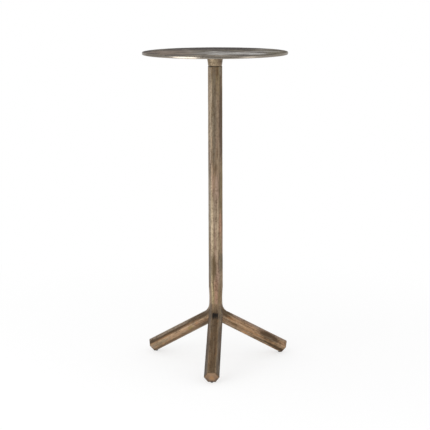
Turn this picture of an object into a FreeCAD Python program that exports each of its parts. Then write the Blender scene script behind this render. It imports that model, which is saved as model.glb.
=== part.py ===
"""Wine table: a thin round top on a slender hexagonal column with three sloping hexagonal legs.

Millimetres, +Z up. The origin lies on the floor under the column's axis, and the front leg points to -Y.
"""
import FreeCAD
import Part
import Sketcher
import math
import os

Vector = FreeCAD.Vector

ORIGIN = Vector(0, 0, 0)
X_AXIS = Vector(1, 0, 0)
Y_AXIS = Vector(0, 1, 0)
Z_AXIS = Vector(0, 0, 1)

# Driving dimensions, in millimetres, or in degrees where the name ends in angle
SIZES = {
    # Whole table
    "table_height": 657,
    # Round top
    "top_diameter": 300,
    "top_thickness": 5.2,
    "top_rim_round": 1.4,
    # Tapered collar under the top
    "collar_height": 24.2,
    "collar_top_diameter": 35.2,
    "collar_foot_diameter": 29,
    "collar_foot_round": 1.8,
    "collar_spigot_diameter": 22,
    "collar_spigot_height": 1.5,
    "collar_bore_depth": 21,
    # Stud that the collar screws onto
    "stud_diameter": 10,
    "stud_engagement": 19,
    "stud_bevel": 1,
    # Hexagonal column and the plugs in its ends
    "column_flats": 26.7,
    "column_corner_round": 2.6,
    "column_bore": 19,
    "column_end_bevel": 0.5,
    "plug_length": 24,
    "plug_recess": 0.5,
    "plug_bevel": 0.8,
    # Hub, from the end of the column to the roots of the legs
    "hub_neck_length": 37,
    "hub_waist_flats": 25,
    "hub_bend_radius": 36,
    "hub_bend_flats": 25.2,
    "hub_stub_length": 5.5,
    # Legs
    "front_leg_angle": -90,
    "leg_slope_angle": 30,
    "leg_length": 188.5,
    "leg_root_flats": 27.4,
    "leg_end_flats": 28.4,
    "leg_edge_round": 2.6,
    "leg_tip_clearance": 1,
    "tenon_diameter": 13,
    "tenon_length": 8,
    # Bolt, washers and their seat under the hub
    "bolt_diameter": 8,
    "bolt_hole_diameter": 9,
    "bolt_head_diameter": 13,
    "bolt_head_height": 8,
    "bolt_head_bevel": 0.6,
    "bolt_key_flats": 6,
    "bolt_key_depth": 4,
    "bolt_engagement": 16,
    "bolt_seat_drop": 4,
    "bolt_seat_diameter": 18,
    "washer_bore": 8.4,
    "flat_washer_diameter": 16,
    "flat_washer_thickness": 1.6,
    "lock_washer_diameter": 14.8,
    "lock_washer_thickness": 2,
    "lock_washer_slit": 1.4,
    # Glides pressed into the tips of the legs
    "glide_diameter": 5,
    "glide_length": 10,
    "glide_inset": 1,
    "glide_edge_round": 0.7,
    # Gap left all round between pieces that fit, and how far a cut runs past what it cuts
    "fit_clearance": 0.05,
    "cut_overrun": 1,
}

# How far up the hub's neck its waist lies
WAIST_SHARE = 0.55

HEXAGON_SIDES = 6
LEG_NAMES = ("front", "right", "left")
LEG_STEP_ANGLE = 360 / len(LEG_NAMES)
CORNER_ANGLE = 180 / HEXAGON_SIDES

# Two places closer than this share of the piece's length count as one
SAME_PLACE_SHARE = 1e-4

doc = FreeCAD.newDocument("wine_table")
sheet = doc.addObject("Spreadsheet::Sheet", "sizes")
for row, (alias, number) in enumerate(SIZES.items(), start=1):
    sheet.set(f"A{row}", str(number))
    sheet.setAlias(f"A{row}", alias)
doc.recompute()

# Sizes that follow from the driving ones
SLOPE = "sizes.leg_slope_angle"
COLUMN_TOP = "(sizes.table_height - sizes.top_thickness - sizes.collar_height)"
LEG_DROP = f"(sizes.leg_length * sin({SLOPE}) + sizes.leg_end_flats / 2 * cos({SLOPE}))"
TIP_ROUNDING = f"(sizes.leg_edge_round * (sin({SLOPE}) + cos({SLOPE}) - 1))"
# Height at which the legs' axes cross the column's axis
CROSSING = f"({LEG_DROP} - {TIP_ROUNDING} + sizes.leg_tip_clearance)"
# Length of the bend's tangent, from that crossing to the start of the bend
BEND_TANGENT = f"(sizes.hub_bend_radius * tan((90 - {SLOPE}) / 2))"
BEND_START = f"({CROSSING} + {BEND_TANGENT})"
COLUMN_FOOT = f"({BEND_START} + sizes.hub_neck_length)"
LEG_ROOT = f"({BEND_TANGENT} + sizes.hub_stub_length)"
BOLT_SEAT = f"({CROSSING} - sizes.bolt_seat_drop)"
HEAD_TOP = f"({BOLT_SEAT} - sizes.flat_washer_thickness - sizes.lock_washer_thickness)"
BOLT_SHANK = f"({COLUMN_FOOT} + sizes.bolt_engagement - {HEAD_TOP})"
GLIDE_REACH = (
    f"(sizes.leg_length * cos({SLOPE}) - sizes.leg_end_flats / 2 * sin({SLOPE}) - sizes.glide_inset)"
)


def value(expression):
    """Return the number that an expression on the sheet gives."""
    result = sheet.evalExpression(expression)
    return float(getattr(result, "Value", result))


def leg_turn(index):
    """Return the expression for the angle of one leg about the column."""
    return f"(sizes.front_leg_angle + {index * LEG_STEP_ANGLE})"


def origin_plane(body, role):
    """Return one of a body's own origin planes."""
    return next(plane for plane in body.Origin.OriginFeatures if plane.Role == role)


def new_body(label, height="0"):
    """Start a body whose own origin stands at the given height on the column's axis."""
    body = doc.addObject("PartDesign::Body", label)
    body.Label = label
    body.setExpression("Placement", f"placement(vector(0; 0; {height}); rotationz(0))")
    return body


def new_sketch(body, name, role, offset="0"):
    """Start a sketch on an origin plane of a body, moved along the plane's normal."""
    sketch = body.newObject("Sketcher::SketchObject", name)
    sketch.AttachmentSupport = (origin_plane(body, role), [""])
    sketch.MapMode = "FlatFace"
    sketch.setExpression("AttachmentOffset.Base.z", offset)
    return sketch


def add_circle(sketch, diameter, construction=False):
    """Draw a circle about the sketch's origin."""
    circle = sketch.addGeometry(Part.Circle(ORIGIN, Z_AXIS, value(diameter) / 2), construction)
    sketch.addConstraint(Sketcher.Constraint("Coincident", circle, 3, -1, 1))
    size = sketch.addConstraint(Sketcher.Constraint("Diameter", circle, value(diameter)))
    sketch.setExpression(f"Constraints[{size}]", diameter)
    return circle


def add_hexagon(sketch, flats):
    """Draw a regular hexagon about the sketch's origin, with a corner on the horizontal axis."""
    across_corners = f"{flats} / cos({CORNER_ANGLE})"
    corner_circle = add_circle(sketch, across_corners, construction=True)
    radius = value(across_corners) / 2
    corners = []
    for step in range(HEXAGON_SIDES):
        angle = math.radians(2 * CORNER_ANGLE * step)
        corners.append(Vector(radius * math.cos(angle), radius * math.sin(angle), 0))
    sides = []
    for start, end in zip(corners, corners[1:] + corners[:1]):
        sides.append(sketch.addGeometry(Part.LineSegment(start, end)))
    for side, following in zip(sides, sides[1:] + sides[:1]):
        sketch.addConstraint(Sketcher.Constraint("Coincident", side, 2, following, 1))
        sketch.addConstraint(Sketcher.Constraint("PointOnObject", side, 1, corner_circle))
    for side in sides[1:]:
        sketch.addConstraint(Sketcher.Constraint("Equal", sides[0], side))
    sketch.addConstraint(Sketcher.Constraint("PointOnObject", sides[0], 1, -1))


def pin_to_axis(sketch, line, axis, direction, distance):
    """Hold the start of a line at a distance from the sketch's origin, or on an axis where it is zero."""
    if distance == "0":
        sketch.addConstraint(Sketcher.Constraint("PointOnObject", line, 1, axis))
        return
    number = value(distance)
    pin = sketch.addConstraint(Sketcher.Constraint(direction, -1, 1, line, 1, number))
    sketch.setExpression(f"Constraints[{pin}]", distance)


def turn_profile(body, name, outline):
    """Turn an outline of (radius, height) expressions about the body's vertical axis."""
    sketch = new_sketch(body, f"{name}_outline", "XZ_Plane")
    points = [Vector(value(radius), value(height), 0) for radius, height in outline]
    lines = []
    for start, end in zip(points, points[1:] + points[:1]):
        lines.append(sketch.addGeometry(Part.LineSegment(start, end)))
    for line, following in zip(lines, lines[1:] + lines[:1]):
        sketch.addConstraint(Sketcher.Constraint("Coincident", line, 2, following, 1))
    for line, (radius, height) in zip(lines, outline):
        pin_to_axis(sketch, line, -2, "DistanceX", radius)
        pin_to_axis(sketch, line, -1, "DistanceY", height)
    turned = body.newObject("PartDesign::Revolution", name)
    turned.Profile = sketch
    turned.ReferenceAxis = (sketch, ["V_Axis"])
    doc.recompute()
    return turned


def break_edges(body, kind, name, size, wanted):
    """Round ("Fillet") or bevel ("Chamfer") those edges of a body's last feature that are wanted."""
    base = body.Tip
    names = [f"Edge{number}" for number, edge in enumerate(base.Shape.Edges, start=1) if wanted(edge)]
    feature = body.newObject(f"PartDesign::{kind}", name)
    feature.Base = (base, names)
    feature.setExpression("Radius" if kind == "Fillet" else "Size", size)
    doc.recompute()
    return feature


def lies_at(edge, axis, place, reach):
    """Say whether an edge lies wholly at one place along an axis, on a piece of the given reach."""
    spots = [vertex.Point.dot(axis) for vertex in edge.Vertexes]
    return max(abs(spot - place) for spot in spots) < reach * SAME_PLACE_SHARE


def runs_along(edge, axis, length):
    """Say whether an edge runs the given length along an axis."""
    spots = [vertex.Point.dot(axis) for vertex in edge.Vertexes]
    return max(spots) - min(spots) > length * (1 - SAME_PLACE_SHARE)


def is_outer(edge, radius):
    """Say whether an edge lies wholly outside a circle about the vertical axis."""
    return min(math.hypot(vertex.X, vertex.Y) for vertex in edge.Vertexes) > radius


def cylinder(name, diameter, height, placement):
    """Make a cylinder bound to the sheet."""
    shape = doc.addObject("Part::Cylinder", name)
    shape.setExpression("Radius", f"{diameter} / 2")
    shape.setExpression("Height", height)
    shape.setExpression("Placement", placement)
    return shape


def upright(height, reach="0", turn="0"):
    """Return the expression for an upright placement at a height, a reach and a turn about the column."""
    return f"placement(vector({reach} * cos({turn}); {reach} * sin({turn}); {height}); rotationz({turn}))"


def cut_from(label, base, tools):
    """Cut tools from a base, as a sub-part of its own."""
    tool = tools[0]
    if len(tools) > 1:
        tool = doc.addObject("Part::MultiFuse", f"{label}_cuts")
        tool.Shapes = tools
    cut = doc.addObject("Part::Cut", label)
    cut.Label = label
    cut.Base = base
    cut.Tool = tool
    return cut


def make_top_disc():
    """Flat round plate with a rounded rim and a shallow recess below for the collar's spigot."""
    rim = "sizes.top_diameter / 2"
    recess = "sizes.collar_spigot_diameter / 2 + sizes.fit_clearance"
    recess_roof = "sizes.collar_spigot_height + sizes.fit_clearance"
    top = "sizes.top_thickness"
    body = new_body("top_disc", f"{COLUMN_TOP} + sizes.collar_height")
    outline = [("0", recess_roof), (recess, recess_roof), (recess, "0"), (rim, "0"), (rim, top), ("0", top)]
    turn_profile(body, "disc_plate", outline)
    inside_rim = value(rim) * (1 - SAME_PLACE_SHARE)
    break_edges(
        body, "Fillet", "disc_rim", "sizes.top_rim_round",
        lambda edge: is_outer(edge, inside_rim) and not runs_along(edge, Z_AXIS, value(top)),
    )
    return body


def make_top_collar():
    """Tapered collar, bored from below for the stud, with a spigot that centres it in the disc."""
    bore = "sizes.stud_diameter / 2 + sizes.fit_clearance"
    lead = f"{bore} + sizes.stud_bevel"
    foot = "sizes.collar_foot_diameter / 2"
    shoulder = "sizes.collar_height"
    spigot = "sizes.collar_spigot_diameter / 2"
    spigot_top = f"{shoulder} + sizes.collar_spigot_height"
    body = new_body("top_collar", COLUMN_TOP)
    outline = [
        (lead, "0"),
        (foot, "0"),
        ("sizes.collar_top_diameter / 2", shoulder),
        (spigot, shoulder),
        (spigot, spigot_top),
        ("0", spigot_top),
        ("0", "sizes.collar_bore_depth"),
        (bore, "sizes.collar_bore_depth"),
        (bore, "sizes.stud_bevel"),
    ]
    turn_profile(body, "collar_cone", outline)
    inside_foot = value(foot) * (1 - SAME_PLACE_SHARE)
    break_edges(
        body, "Fillet", "collar_foot", "sizes.collar_foot_round",
        lambda edge: lies_at(edge, Z_AXIS, 0, value(shoulder)) and is_outer(edge, inside_foot),
    )
    return body


def make_top_stud():
    """Threaded stud, half in the column's head plug and half in the collar."""
    radius = "sizes.stud_diameter / 2"
    tip = f"{radius} - sizes.stud_bevel"
    length = "2 * sizes.stud_engagement"
    body = new_body("top_stud", f"{COLUMN_TOP} - sizes.stud_engagement")
    outline = [
        ("0", "0"),
        (tip, "0"),
        (radius, "sizes.stud_bevel"),
        (radius, f"{length} - sizes.stud_bevel"),
        (tip, length),
        ("0", length),
    ]
    turn_profile(body, "stud_rod", outline)
    return body


def make_plug(label, height, thread):
    """Round plug that closes one end of the column, tapped right through."""
    outer = "sizes.column_bore / 2 - sizes.fit_clearance"
    inner = f"{thread} / 2 + sizes.fit_clearance"
    edge = f"{outer} - sizes.plug_bevel"
    length = "sizes.plug_length"
    body = new_body(label, height)
    outline = [
        (inner, "0"),
        (edge, "0"),
        (outer, "sizes.plug_bevel"),
        (outer, f"{length} - sizes.plug_bevel"),
        (edge, length),
        (inner, length),
    ]
    turn_profile(body, f"{label}_ring", outline)
    return body


def make_column_tube():
    """Hexagonal column with rounded corners, a round bore and bevelled ends."""
    length = f"{COLUMN_TOP} - {COLUMN_FOOT}"
    body = new_body("column_tube", COLUMN_FOOT)
    section = new_sketch(body, "column_section", "XY_Plane")
    add_hexagon(section, "sizes.column_flats")
    add_circle(section, "sizes.column_bore")
    bar = body.newObject("PartDesign::Pad", "column_bar")
    bar.Profile = section
    bar.setExpression("Length", length)
    doc.recompute()
    reach = value(length)
    bore = value("sizes.column_bore") / 2 * (1 + SAME_PLACE_SHARE)
    break_edges(
        body, "Fillet", "column_corners", "sizes.column_corner_round",
        lambda edge: runs_along(edge, Z_AXIS, reach) and is_outer(edge, bore),
    )
    break_edges(
        body, "Chamfer", "column_ends", "sizes.column_end_bevel",
        lambda edge: is_outer(edge, bore)
        and (lies_at(edge, Z_AXIS, 0, reach) or lies_at(edge, Z_AXIS, reach, reach)),
    )
    return body


def rounded_hexagon(flats, corner_round):
    """Return the outline of a hexagon with rounded corners, one of its flats square to the X axis."""
    half_corner = math.radians(CORNER_ANGLE)
    centre_reach = (flats / 2 - corner_round) / math.cos(half_corner)
    arcs = []
    for step in range(HEXAGON_SIDES):
        corner = half_corner * (2 * step + 1)
        centre = Vector(math.cos(corner), math.sin(corner), 0) * centre_reach
        points = []
        for turn in (corner - half_corner, corner, corner + half_corner):
            points.append(centre + Vector(math.cos(turn), math.sin(turn), 0) * corner_round)
        arcs.append(points)
    edges = []
    for points, following in zip(arcs, arcs[1:] + arcs[:1]):
        edges.append(Part.Arc(*points).toShape())
        edges.append(Part.LineSegment(points[2], following[0]).toShape())
    return Part.Wire(edges)


def hub_neck():
    """Return the waisted neck of the hub, upright from the start of the bend to the end of the column."""
    foot = value(BEND_START)
    length = value("sizes.hub_neck_length")
    sizes_up = (
        (0, "sizes.hub_bend_flats"),
        (WAIST_SHARE, "sizes.hub_waist_flats"),
        (1, "sizes.column_flats"),
    )
    sections = []
    for share, flats in sizes_up:
        outline = rounded_hexagon(value(flats), value("sizes.column_corner_round"))
        outline.rotate(ORIGIN, Z_AXIS, value(leg_turn(0)))
        outline.translate(Z_AXIS * (foot + length * share))
        sections.append(outline)
    return Part.makeLoft(sections, True)


def hub_arm():
    """Return one third of the hub below its neck, for a leg along X.

    A hexagonal bar follows the bend from the column's axis to the leg's and grows to the size of the leg.
    It is kept only between the upright planes half way to the next legs.
    """
    bend_radius = value("sizes.hub_bend_radius")
    bend_start = Vector(0, 0, value(BEND_START))
    slope = math.radians(value(SLOPE))
    outward = Vector(math.cos(slope), 0, -math.sin(slope))
    crossing = Vector(0, 0, value(CROSSING))
    bend_end = crossing + outward * value(BEND_TANGENT)
    stub_end = crossing + outward * value(LEG_ROOT)
    bend_angle = 90 - value(SLOPE)
    half_bend = math.radians(bend_angle) / 2
    bend_middle = bend_start + Vector(1 - math.cos(half_bend), 0, -math.sin(half_bend)) * bend_radius
    path = Part.Wire([
        Part.Arc(bend_start, bend_middle, bend_end).toShape(),
        Part.LineSegment(bend_end, stub_end).toShape(),
    ])
    head = rounded_hexagon(value("sizes.hub_bend_flats"), value("sizes.column_corner_round"))
    head.Placement = FreeCAD.Placement(bend_start, FreeCAD.Rotation())
    root = rounded_hexagon(value("sizes.leg_root_flats"), value("sizes.leg_edge_round"))
    root.Placement = FreeCAD.Placement(stub_end, FreeCAD.Rotation(Y_AXIS, -bend_angle))
    bar = path.makePipeShell([head, root], True)
    reach = value(LEG_ROOT) + value("sizes.leg_root_flats")
    half_step = math.radians(LEG_STEP_ANGLE / 2)
    sides = [Vector(reach, side * reach * math.tan(half_step), 0) for side in (-1, 1)]
    third = Part.Face(Part.makePolygon([ORIGIN, *sides, ORIGIN]))
    return bar.common(third.extrude(Z_AXIS * (value(BEND_START) + value("sizes.cut_overrun"))))


def leg_place(index, along):
    """Return the expression for a frame on a leg's axis, its X outward and its Z on the upper side."""
    turn = leg_turn(index)
    out = f"{along} * cos({SLOPE})"
    place = f"vector({out} * cos({turn}); {out} * sin({turn}); {CROSSING} - {along} * sin({SLOPE}))"
    return f"placement({place}; rotationz({turn}) * rotationy({SLOPE}))"


def make_base_hub():
    """Hub that gathers the legs under the column, bored for the bolt and for the legs' tenons."""
    arms = []
    for index in range(len(LEG_NAMES)):
        arm = hub_arm()
        arm.rotate(ORIGIN, Z_AXIS, value(leg_turn(index)))
        arms.append(arm)
    blank = doc.addObject("Part::Feature", "hub_blank")
    blank.Shape = hub_neck().fuse(arms).removeSplitter()
    blank.Placement = FreeCAD.Placement()
    overrun = "sizes.cut_overrun"
    hole_height = f"{COLUMN_FOOT} - {BOLT_SEAT} + 2 * {overrun}"
    cuts = [
        cylinder("hub_bolt_hole", "sizes.bolt_hole_diameter", hole_height, upright(f"{BOLT_SEAT} - {overrun}")),
        cylinder("hub_bolt_seat", "sizes.bolt_seat_diameter", BOLT_SEAT, upright("0")),
    ]
    for index, name in enumerate(LEG_NAMES):
        socket_floor = f"({LEG_ROOT} - sizes.tenon_length - sizes.fit_clearance)"
        socket = cylinder(
            f"hub_socket_{name}",
            "(sizes.tenon_diameter + 2 * sizes.fit_clearance)",
            f"sizes.tenon_length + sizes.fit_clearance + {overrun}",
            f"{leg_place(index, socket_floor)} * rotationy(90)",
        )
        cuts.append(socket)
    return cut_from("base_hub", blank, cuts)


def make_leg(index, name):
    """Hexagonal leg, a little thicker at its foot, with a round tenon and a hole for its glide."""
    body = doc.addObject("PartDesign::Body", f"leg_{name}_bar")
    body.setExpression("Placement", leg_place(index, "0"))
    root = new_sketch(body, f"leg_{name}_root", "YZ_Plane", LEG_ROOT)
    add_hexagon(root, "sizes.leg_root_flats")
    length = f"(sizes.leg_length - {LEG_ROOT})"
    bar = body.newObject("PartDesign::Pad", f"leg_{name}_taper")
    bar.Profile = root
    bar.setExpression("Length", length)
    bar.setExpression("TaperAngle", f"atan((sizes.leg_end_flats - sizes.leg_root_flats) / 2 / {length})")
    doc.recompute()
    tip = value("sizes.leg_length")
    run = value(length)
    break_edges(
        body, "Fillet", f"leg_{name}_edges", "sizes.leg_edge_round",
        lambda edge: runs_along(edge, X_AXIS, run) or lies_at(edge, X_AXIS, tip, tip),
    )
    tenon_section = new_sketch(body, f"leg_{name}_tenon_section", "YZ_Plane", LEG_ROOT)
    add_circle(tenon_section, "sizes.tenon_diameter")
    tenon = body.newObject("PartDesign::Pad", f"leg_{name}_tenon")
    tenon.Profile = tenon_section
    tenon.Reversed = True
    tenon.setExpression("Length", "sizes.tenon_length")
    doc.recompute()
    hole = cylinder(
        f"leg_{name}_glide_hole",
        "(sizes.glide_diameter + 2 * sizes.fit_clearance)",
        "sizes.glide_length + sizes.fit_clearance + sizes.cut_overrun",
        upright("-sizes.cut_overrun", GLIDE_REACH, leg_turn(index)),
    )
    return cut_from(f"leg_{name}", body, [hole])


def make_glide(index, name):
    """Plug of soft black plastic that stands out below the tip of a leg and carries it."""
    radius = "sizes.glide_diameter / 2"
    body = new_body(f"glide_{name}")
    body.setExpression("Placement", upright("0", GLIDE_REACH, leg_turn(index)))
    outline = [("0", "0"), (radius, "0"), (radius, "sizes.glide_length"), ("0", "sizes.glide_length")]
    turn_profile(body, f"glide_{name}_rod", outline)
    inside = value(radius) * (1 - SAME_PLACE_SHARE)
    length = value("sizes.glide_length")
    break_edges(
        body, "Fillet", f"glide_{name}_foot", "sizes.glide_edge_round",
        lambda edge: lies_at(edge, Z_AXIS, 0, length) and is_outer(edge, inside),
    )
    return body


def make_base_bolt():
    """Long socket-head bolt that draws the hub up against the column."""
    shank = "sizes.bolt_diameter / 2"
    head = "sizes.bolt_head_diameter / 2"
    bevel = "sizes.bolt_head_bevel"
    head_height = "sizes.bolt_head_height"
    tip = f"{head_height} + {BOLT_SHANK}"
    body = new_body("base_bolt_rod", f"{HEAD_TOP} - {head_height}")
    outline = [
        ("0", "0"),
        (f"{head} - {bevel}", "0"),
        (head, bevel),
        (head, head_height),
        (shank, head_height),
        (shank, f"{tip} - {bevel}"),
        (f"{shank} - {bevel}", tip),
        ("0", tip),
    ]
    turn_profile(body, "bolt_rod", outline)
    key = doc.addObject("Part::Prism", "bolt_key")
    key.Polygon = HEXAGON_SIDES
    key.setExpression("Circumradius", f"sizes.bolt_key_flats / 2 / cos({CORNER_ANGLE})")
    key.setExpression("Height", "sizes.bolt_key_depth + sizes.cut_overrun")
    key.setExpression("Placement", upright(f"{HEAD_TOP} - {head_height} - sizes.cut_overrun"))
    return cut_from("base_bolt", body, [key])


def make_washer(label, diameter, thickness, height):
    """Plain round washer on the column's axis."""
    outer = cylinder(f"{label}_disc", diameter, thickness, upright(height))
    tall = f"{thickness} + 2 * sizes.cut_overrun"
    hole = cylinder(f"{label}_hole", "sizes.washer_bore", tall, upright(f"{height} - sizes.cut_overrun"))
    return outer, hole


def make_flat_washer():
    """Flat washer between the lock washer and the hub."""
    thickness = "sizes.flat_washer_thickness"
    outer, hole = make_washer(
        "base_flat_washer", "sizes.flat_washer_diameter", thickness, f"{BOLT_SEAT} - {thickness}"
    )
    return cut_from("base_flat_washer", outer, [hole])


def make_lock_washer():
    """Split lock washer under the bolt's head."""
    thickness = "sizes.lock_washer_thickness"
    outer, hole = make_washer("base_lock_washer", "sizes.lock_washer_diameter", thickness, HEAD_TOP)
    slit = doc.addObject("Part::Box", "base_lock_washer_slit")
    slit.setExpression("Length", "sizes.lock_washer_diameter / 2 + sizes.cut_overrun")
    slit.setExpression("Width", "sizes.lock_washer_slit")
    slit.setExpression("Height", f"{thickness} + 2 * sizes.cut_overrun")
    corner = f"vector(0; -sizes.lock_washer_slit / 2; {HEAD_TOP} - sizes.cut_overrun)"
    turn = f"placement(vector(0; 0; 0); rotationz({leg_turn(0)}))"
    slit.setExpression("Placement", f"{turn} * placement({corner}; rotationz(0))")
    return cut_from("base_lock_washer", outer, [hole, slit])


def make_table():
    """Make every sub-part, from the top down."""
    pieces = [
        make_top_disc(),
        make_top_collar(),
        make_top_stud(),
        make_plug(
            "column_head_plug",
            f"{COLUMN_TOP} - sizes.plug_recess - sizes.plug_length",
            "sizes.stud_diameter",
        ),
        make_column_tube(),
        make_plug("column_foot_plug", f"{COLUMN_FOOT} + sizes.plug_recess", "sizes.bolt_diameter"),
        make_base_hub(),
        make_flat_washer(),
        make_lock_washer(),
        make_base_bolt(),
    ]
    for index, name in enumerate(LEG_NAMES):
        pieces.append(make_leg(index, name))
        pieces.append(make_glide(index, name))
    return pieces


def check_and_write(pieces):
    """Stop on anything that failed, then write each sub-part to its own file."""
    doc.recompute()
    for item in doc.Objects:
        if "Invalid" in item.State or "Error" in item.State:
            raise RuntimeError(f"{item.Label} failed: {item.State}")
    for piece in pieces:
        shape = piece.Shape
        if shape.isNull() or not shape.isValid() or len(shape.Solids) != 1:
            raise RuntimeError(f"{piece.Label} is not one valid solid")
    os.makedirs("parts", exist_ok=True)
    for piece in pieces:
        piece.Shape.exportStep(f"parts/{piece.Label}.step")
        box = piece.Shape.BoundBox
        print(f"{piece.Label}: {piece.Shape.Volume:.1f} mm3, z {box.ZMin:.2f} to {box.ZMax:.2f}")


check_and_write(make_table())
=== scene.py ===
import math

import bmesh
import bpy
import numpy as np
from mathutils import Matrix, Vector, noise


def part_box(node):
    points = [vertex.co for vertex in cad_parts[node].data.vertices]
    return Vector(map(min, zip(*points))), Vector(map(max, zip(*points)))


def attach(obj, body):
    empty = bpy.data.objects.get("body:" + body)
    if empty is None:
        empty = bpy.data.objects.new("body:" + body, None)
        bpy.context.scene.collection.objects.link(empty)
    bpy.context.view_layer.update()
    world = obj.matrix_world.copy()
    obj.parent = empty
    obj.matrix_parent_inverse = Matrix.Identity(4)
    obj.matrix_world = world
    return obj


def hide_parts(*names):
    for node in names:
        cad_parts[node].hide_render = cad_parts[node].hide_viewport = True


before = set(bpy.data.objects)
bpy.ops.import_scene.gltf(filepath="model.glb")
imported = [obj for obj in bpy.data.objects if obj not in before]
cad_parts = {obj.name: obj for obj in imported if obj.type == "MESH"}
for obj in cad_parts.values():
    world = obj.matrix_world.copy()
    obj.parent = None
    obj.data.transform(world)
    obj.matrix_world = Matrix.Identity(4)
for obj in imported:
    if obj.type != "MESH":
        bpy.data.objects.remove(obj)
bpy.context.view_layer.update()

# All sizes are in metres
MM = 0.001

# Sizes that the frame gives
COLUMN_LOW, COLUMN_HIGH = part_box("column_tube")
COLLAR_LOW, COLLAR_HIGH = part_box("top_collar")
DISC_LOW, DISC_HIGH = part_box("top_disc")
HUB_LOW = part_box("base_hub")[0]
WASHER_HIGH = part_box("base_flat_washer")[1]
PLUG_LOW, PLUG_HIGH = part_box("column_head_plug")
STUD_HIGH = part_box("top_stud")[1]

COLUMN_FLATS = COLUMN_HIGH.y - COLUMN_LOW.y
COLUMN_BORE = (PLUG_HIGH.x - PLUG_LOW.x) / 2
DISC_RADIUS = DISC_HIGH.x
COLLAR_RADIUS = COLLAR_HIGH.x
STUD_RADIUS = STUD_HIGH.x

# The bars: hexagons with rounded corners, one flat of each facing the way its leg points
HEADINGS = {
    "leg_front": math.radians(-90),
    "leg_right": math.radians(30),
    "leg_left": math.radians(150),
}
SIXTH = math.radians(60)
CORNER_ROUND = 2.6 * MM
COLUMN_HEAD_BEVEL = 0.5 * MM
COLUMN_FOOT_BEVEL = 0.1 * MM
CORNER_STEPS = 4
FLAT_STEPS = 6

# The path of a bar: down the neck, round the bend and out along the leg
NECK_LENGTH = 37 * MM
WAIST_FLATS = 25 * MM
WAIST_SHARE = 0.55
BEND_FLATS = 25.2 * MM
BEND_RADIUS = 36 * MM
BEND_TURN = math.radians(60)
BEND_LENGTH = BEND_RADIUS * BEND_TURN
BEND_START = COLUMN_LOW.z - NECK_LENGTH
STUB_LENGTH = 5.5 * MM
LEG_START = BEND_LENGTH + STUB_LENGTH
LEG_REACH = 188.5 * MM
LEG_STOP = BEND_LENGTH + LEG_REACH - BEND_RADIUS * math.tan(BEND_TURN / 2)
LEG_LENGTH = LEG_STOP - LEG_START
LEG_ROOT_FLATS = 27.4 * MM
LEG_END_FLATS = 28.4 * MM
BOLT_SEAT_RADIUS = 9 * MM

# The collar and the disc
COLLAR_FOOT_RADIUS = 14.5 * MM
COLLAR_FOOT_ROUND = 1.8 * MM
SPIGOT_RADIUS = 11 * MM
RIM_ROUND = 1.4 * MM
SEAT_CLEARANCE = 0.05 * MM

# Mesh spacing
RING_STEP = 2 * MM
COLLAR_STEP = 1 * MM
BEND_STEP = 1.3 * MM
DISC_STEP = 2.5 * MM
DISC_SEGMENTS = 256
COLLAR_SEGMENTS = 96
HOLE_SEGMENTS = 48
ROUND_STEPS = 6
LEAST_ROUND = 0.03 * CORNER_ROUND
END_FACE_SHARES = (0.85, 0.7, 0.55, 0.4, 0.25, 0.12)
SHARP_ANGLE = math.radians(38)

# Distances within which points count as one, and the softening of the hub's creases
CUT_JOIN = 0.001 * MM
TURNED_JOIN = 0.002 * MM
HUB_JOIN = 0.05 * MM
CREASE_ROUNDS = 10
CREASE_PULL = 0.5

# Unevenness left by casting and hand finishing, which only takes metal away
FLAT_SINK = 0.14 * MM
EDGE_SINK = 0.35 * MM
DISC_SINK = 0.16 * MM
RIM_SINK = 0.3 * MM
DISC_BROAD_SHARE = 0.75

# Its waves per metre along each axis
FLAT_WAVES = (75, 75, 13)
CORNER_WAVES = (160, 160, 55)
COLLAR_WAVES = (75, 75, 40)
DISC_BROAD_WAVES = (18, 30, 18)
DISC_SMALL_WAVES = (70, 110, 70)
RIM_WAVES = (60, 60, 60)

# Where the finish is rubbed light, where it stays sooty, where it is darker at the side legs' lowest
# corners, and where shade is painted in the joint under the collar and round the legs' end faces
EDGE_WIDTH = 2.8 * MM
OUTER_SHARE = 0.45
CREASE_WIDTH = 4.5 * MM
CREASE_SOOT = 0.68
# Painted shade in the joint under the collar: its depth on the column and on the collar, its strength, and
# the side where most of it falls
JOINT_SHADE_DEPTH = 5 * MM
COLLAR_SHADE_DEPTH = 2.6 * MM
JOINT_SHADE = 0.86
JOINT_SHADE_AZIMUTH = -35
JOINT_SHADE_EVEN = 0.62
ROOT_SOOT_MIDDLE = 41 * MM
ROOT_SOOT_REACH = 19 * MM
ROOT_SOOT_CORE = 1.6
ROOT_SOOT_FADE = 9 * MM
ROOT_SOOT_LOSS = 0.3
SIDE_SOOT = 0.6
FLOOR_DARK_HEIGHT = 6 * MM
FLOOR_DARKNESS = 1.4
LIP_WIDTH = 6.5 * MM
LIP_FULL = 1.45
LIP_CORE = 8 * MM
LIP_BELOW = 0.5
RING_SPREAD = 0.05


def paint(red, green, blue):
    """A colour as it looks on screen, from 0 to 255, made linear."""
    shares = np.array([red, green, blue]) / 255
    linear = np.where(shares <= 0.04045, shares / 12.92, ((shares + 0.055) / 1.055) ** 2.4)
    return (*linear.tolist(), 1.0)


# The bronze's colours
BRONZE = paint(168, 146, 120)
BRONZE_DARK = paint(98, 80, 60)
BRONZE_LIGHT = paint(196, 178, 152)
BRONZE_BLACK = paint(38, 33, 30)
BRONZE_OLIVE = paint(150, 134, 96)
BRONZE_ROSE = paint(176, 146, 130)
BRONZE_ORANGE = paint(192, 146, 104)
BRONZE_CUT = paint(166, 134, 107)
BRONZE_CORE = paint(176, 136, 94)
BRONZE_LIP_SHADE = paint(106, 89, 75)

# The disc's colours
SILVER_DARK = paint(72, 65, 63)
SILVER = paint(112, 104, 94)
SILVER_LIGHT = paint(192, 185, 174)
SILVER_BROWN = paint(136, 125, 108)
SILVER_RIM = paint(170, 161, 149)
SILVER_OLIVE = paint(116, 106, 76)
SILVER_SHEEN = (0.62, 0.62, 0.62, 1)

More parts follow.
